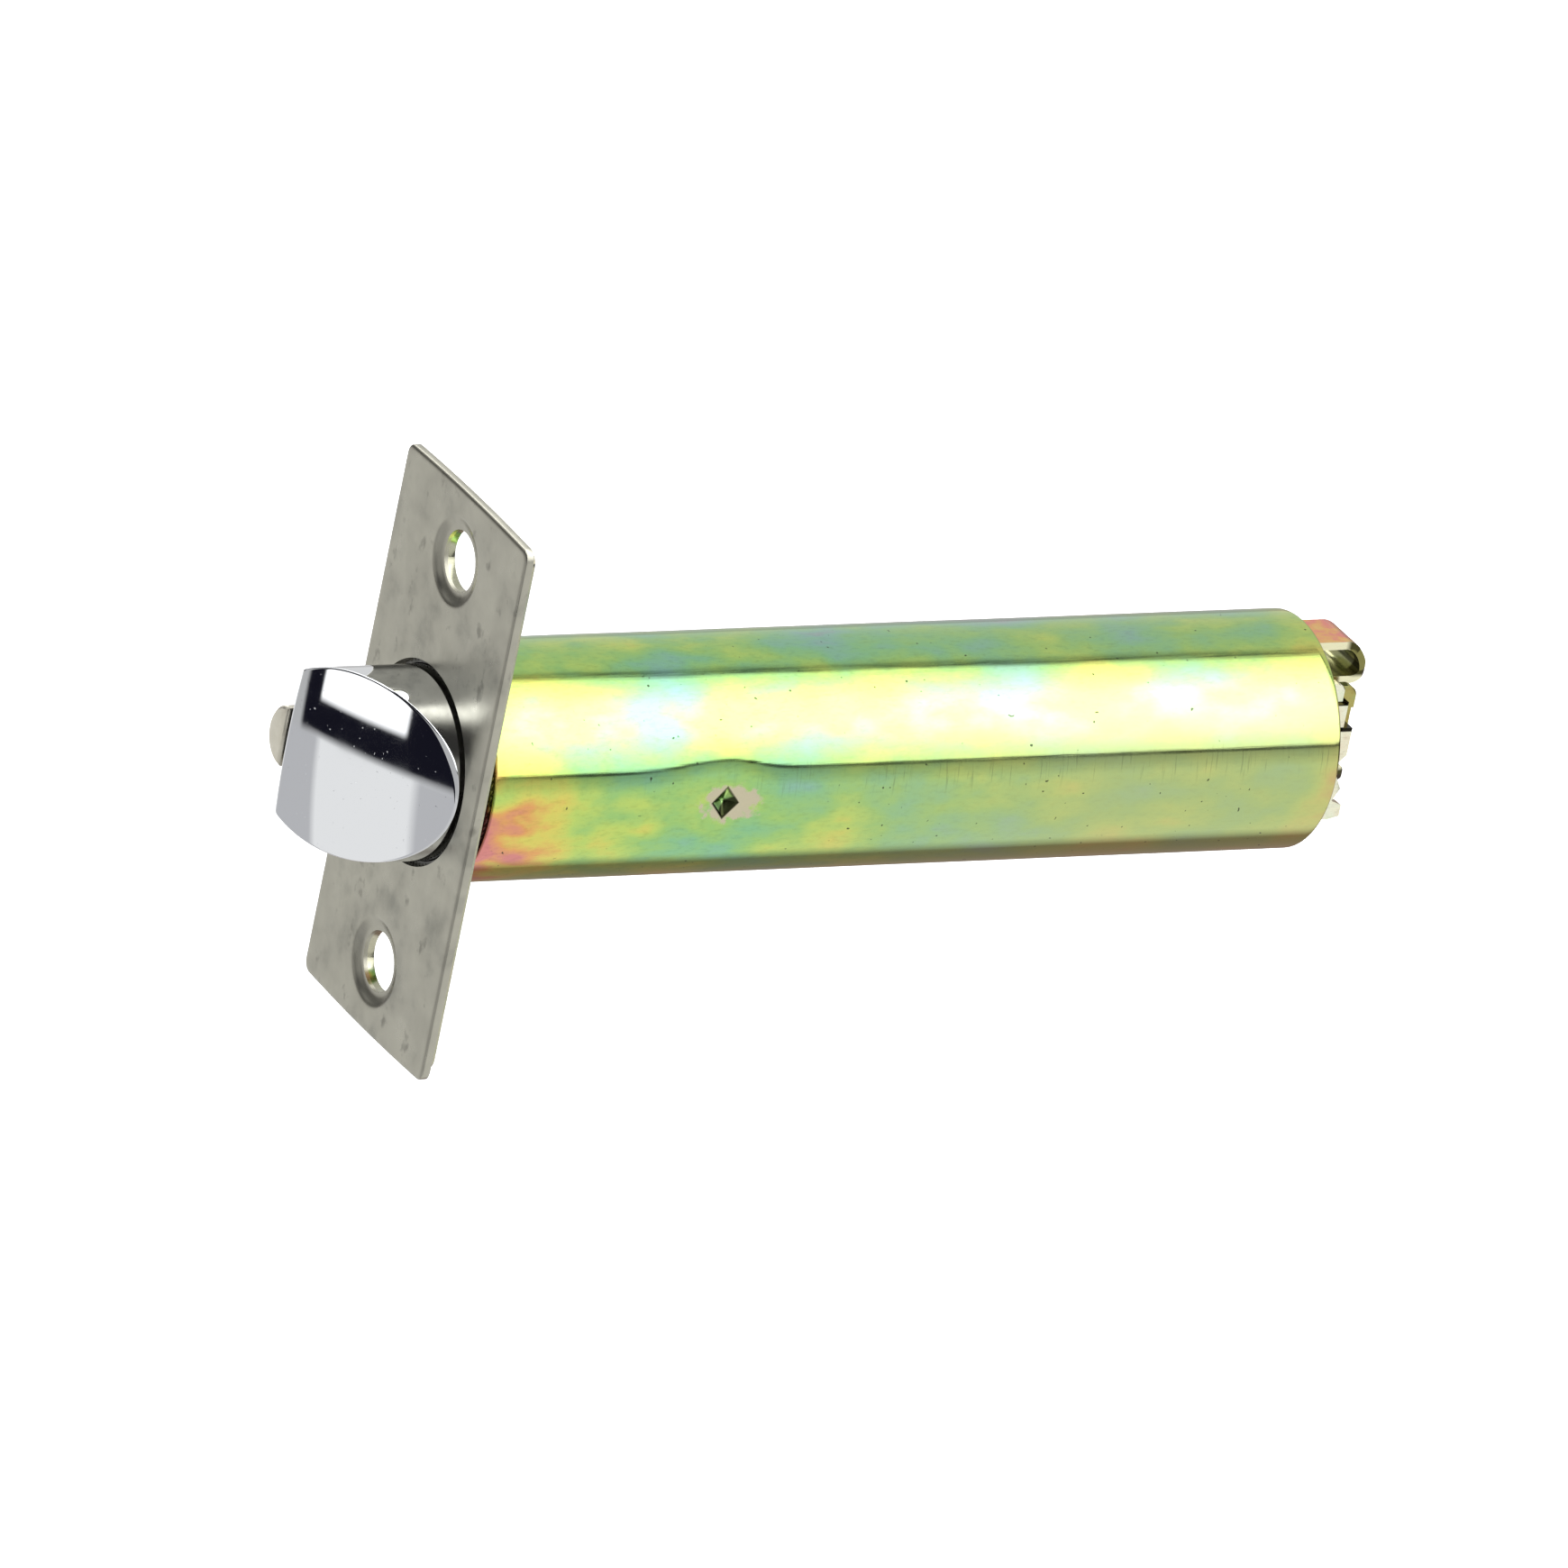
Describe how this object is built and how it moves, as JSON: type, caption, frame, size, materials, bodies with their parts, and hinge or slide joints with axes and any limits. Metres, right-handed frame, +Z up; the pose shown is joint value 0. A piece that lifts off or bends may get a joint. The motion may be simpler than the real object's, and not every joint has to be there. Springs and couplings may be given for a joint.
{
  "type": "deadlocking tubular door latch",
  "caption": "Long round-cased spring latch for a door edge: bevelled bolt, guard plunger, slim faceplate, and a hooked tail that the lockset pulls.",
  "frame": {"origin": "middle of the faceplate's front face, midway between the two screw holes and on the tube's axis", "axes": "+X along the tube into the door, +Z up along the faceplate, so the bolt points to -X and its bevel faces -Y"},
  "size_m": [0.1172, 0.0254, 0.0572],
  "materials": {
    "stainless": "satin stainless steel sheet, slightly mottled",
    "plated_steel": "zinc plated and yellow chromated, iridescent",
    "die_cast": "bare die-cast alloy, dull grey",
    "chrome": "polished chrome plate",
    "nickel": "satin nickel plate",
    "spring_steel": "oiled spring wire and strip",
    "plain_steel": "plain turned steel"
  },
  "bodies": {
    "case": {"faceplate": "stainless", "backplate": "plated_steel", "bolt_guide": "die_cast", "case_tube": "plated_steel", "deadlock_blade": "spring_steel", "blade_rivet": "plain_steel", "spring_seat": "plated_steel", "spring_guide_rod": "plain_steel", "rear_plug": "die_cast", "upper_prong": "plated_steel", "lower_prong": "plated_steel", "prong_rivets": "plain_steel", "bolt_spring": "spring_steel", "plunger_spring": "spring_steel", "drawbar_spring": "spring_steel"},
    "bolt": {"latch_bolt": "chrome", "bolt_pin": "plain_steel"},
    "plunger": {"guard_plunger": "nickel", "plunger_bar": "plated_steel", "plunger_rivet": "plain_steel"},
    "tail": {"drawbar": "plated_steel", "tail_hook_plate": "plated_steel", "tail_rivets": "plain_steel", "drawbar_pin": "plain_steel", "drawbar_washer": "plain_steel"}
  },
  "joints": [
    {"name": "tail_pull", "type": "slide", "parent": "case", "child": "tail", "axis": [1, 0, 0], "range_m": [0, 0.0125], "stiffness_N_per_m": 250, "springref_m": -0.008, "deforming": ["drawbar_spring"]},
    {"name": "bolt_slide", "type": "slide", "parent": "case", "child": "bolt", "axis": [1, 0, 0], "range_m": [0, 0.011], "stiffness_N_per_m": 350, "springref_m": -0.012, "deforming": ["bolt_spring"]},
    {"name": "plunger_slide", "type": "slide", "parent": "case", "child": "plunger", "axis": [1, 0, 0], "range_m": [0, 0.011], "stiffness_N_per_m": 120, "springref_m": -0.008, "deforming": ["plunger_spring"]}
  ],
  "couplings": [
    {"joint": "bolt_slide", "follows": "tail_pull", "ratio": 0.88}
  ]
}
